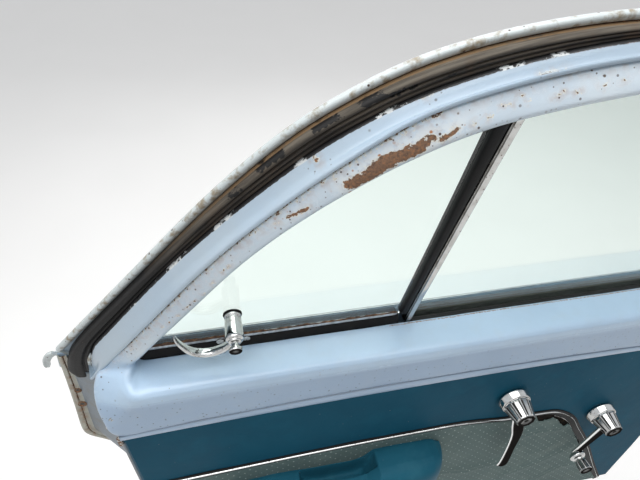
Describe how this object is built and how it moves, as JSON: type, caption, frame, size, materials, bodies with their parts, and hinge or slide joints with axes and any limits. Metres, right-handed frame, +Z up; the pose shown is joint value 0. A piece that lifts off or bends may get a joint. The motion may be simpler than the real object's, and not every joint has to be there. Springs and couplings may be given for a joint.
{
  "type": "classic saloon rear door",
  "caption": "Left rear door of a classic saloon with window frame, opening quarter light, trim panel, handles and hinges, standing open.",
  "frame": {"origin": "centre of the upper hinge's bolt circle, on the face of its leaf that meets the door pillar", "axes": "+X forward along the door towards its hinges, +Y out of the cabin, +Z up"},
  "size_m": [1.255, 0.21, 1.1544],
  "materials": {
    "body_paint": "light blue gloss enamel, worn and rust spotted along the window frame",
    "outer_paint": "light blue gloss enamel",
    "upper_vinyl": "teal grained vinyl",
    "insert_vinyl": "grey green speckled vinyl",
    "bright_trim": "polished, lightly pitted",
    "seal_rubber": "aged matt rubber",
    "glass": "clear, faint green",
    "felt": "black wiping felt",
    "hinge_steel": "painted over, worn to steel at the pins",
    "lock_steel": "zinc plated, dulled"
  },
  "bodies": {
    "pillar_hinges": {"upper_pillar_leaf": "hinge_steel", "lower_pillar_leaf": "hinge_steel", "upper_hinge_pin": "lock_steel", "lower_hinge_pin": "lock_steel"},
    "door": {"outer_skin": "outer_paint", "inner_shell": "body_paint", "waist_rail": "body_paint", "window_frame": "body_paint", "frame_seal": "seal_rubber", "glass_run": "seal_rubber", "quarter_sill_rubber": "seal_rubber", "division_rubber": "seal_rubber", "main_glass": "glass", "quarter_glass": "glass", "division_bar": "bright_trim", "quarter_channel": "bright_trim", "inner_felt": "felt", "outer_felt": "felt", "waist_moulding": "bright_trim", "side_moulding": "bright_trim", "trim_panel": "upper_vinyl", "trim_insert": "insert_vinyl", "trim_strip": "bright_trim", "armrest": "upper_vinyl", "crank_escutcheon": "bright_trim", "crank_arm": "bright_trim", "crank_knob": "bright_trim", "release_escutcheon": "bright_trim", "release_lever": "bright_trim", "catch_boss": "bright_trim", "catch_lever": "bright_trim", "latch_plate": "lock_steel", "latch_rotor": "lock_steel", "outer_handle": "bright_trim", "handle_button": "bright_trim", "corner_bracket": "body_paint", "upper_door_leaf": "hinge_steel", "lower_door_leaf": "hinge_steel"}
  },
  "joints": [
    {"name": "door_swing", "type": "hinge", "parent": "pillar_hinges", "child": "door", "pos_m": [-0.03529, -0.00393, 0], "axis": [0, 0, 1], "range_deg": [0, 64]}
  ]
}
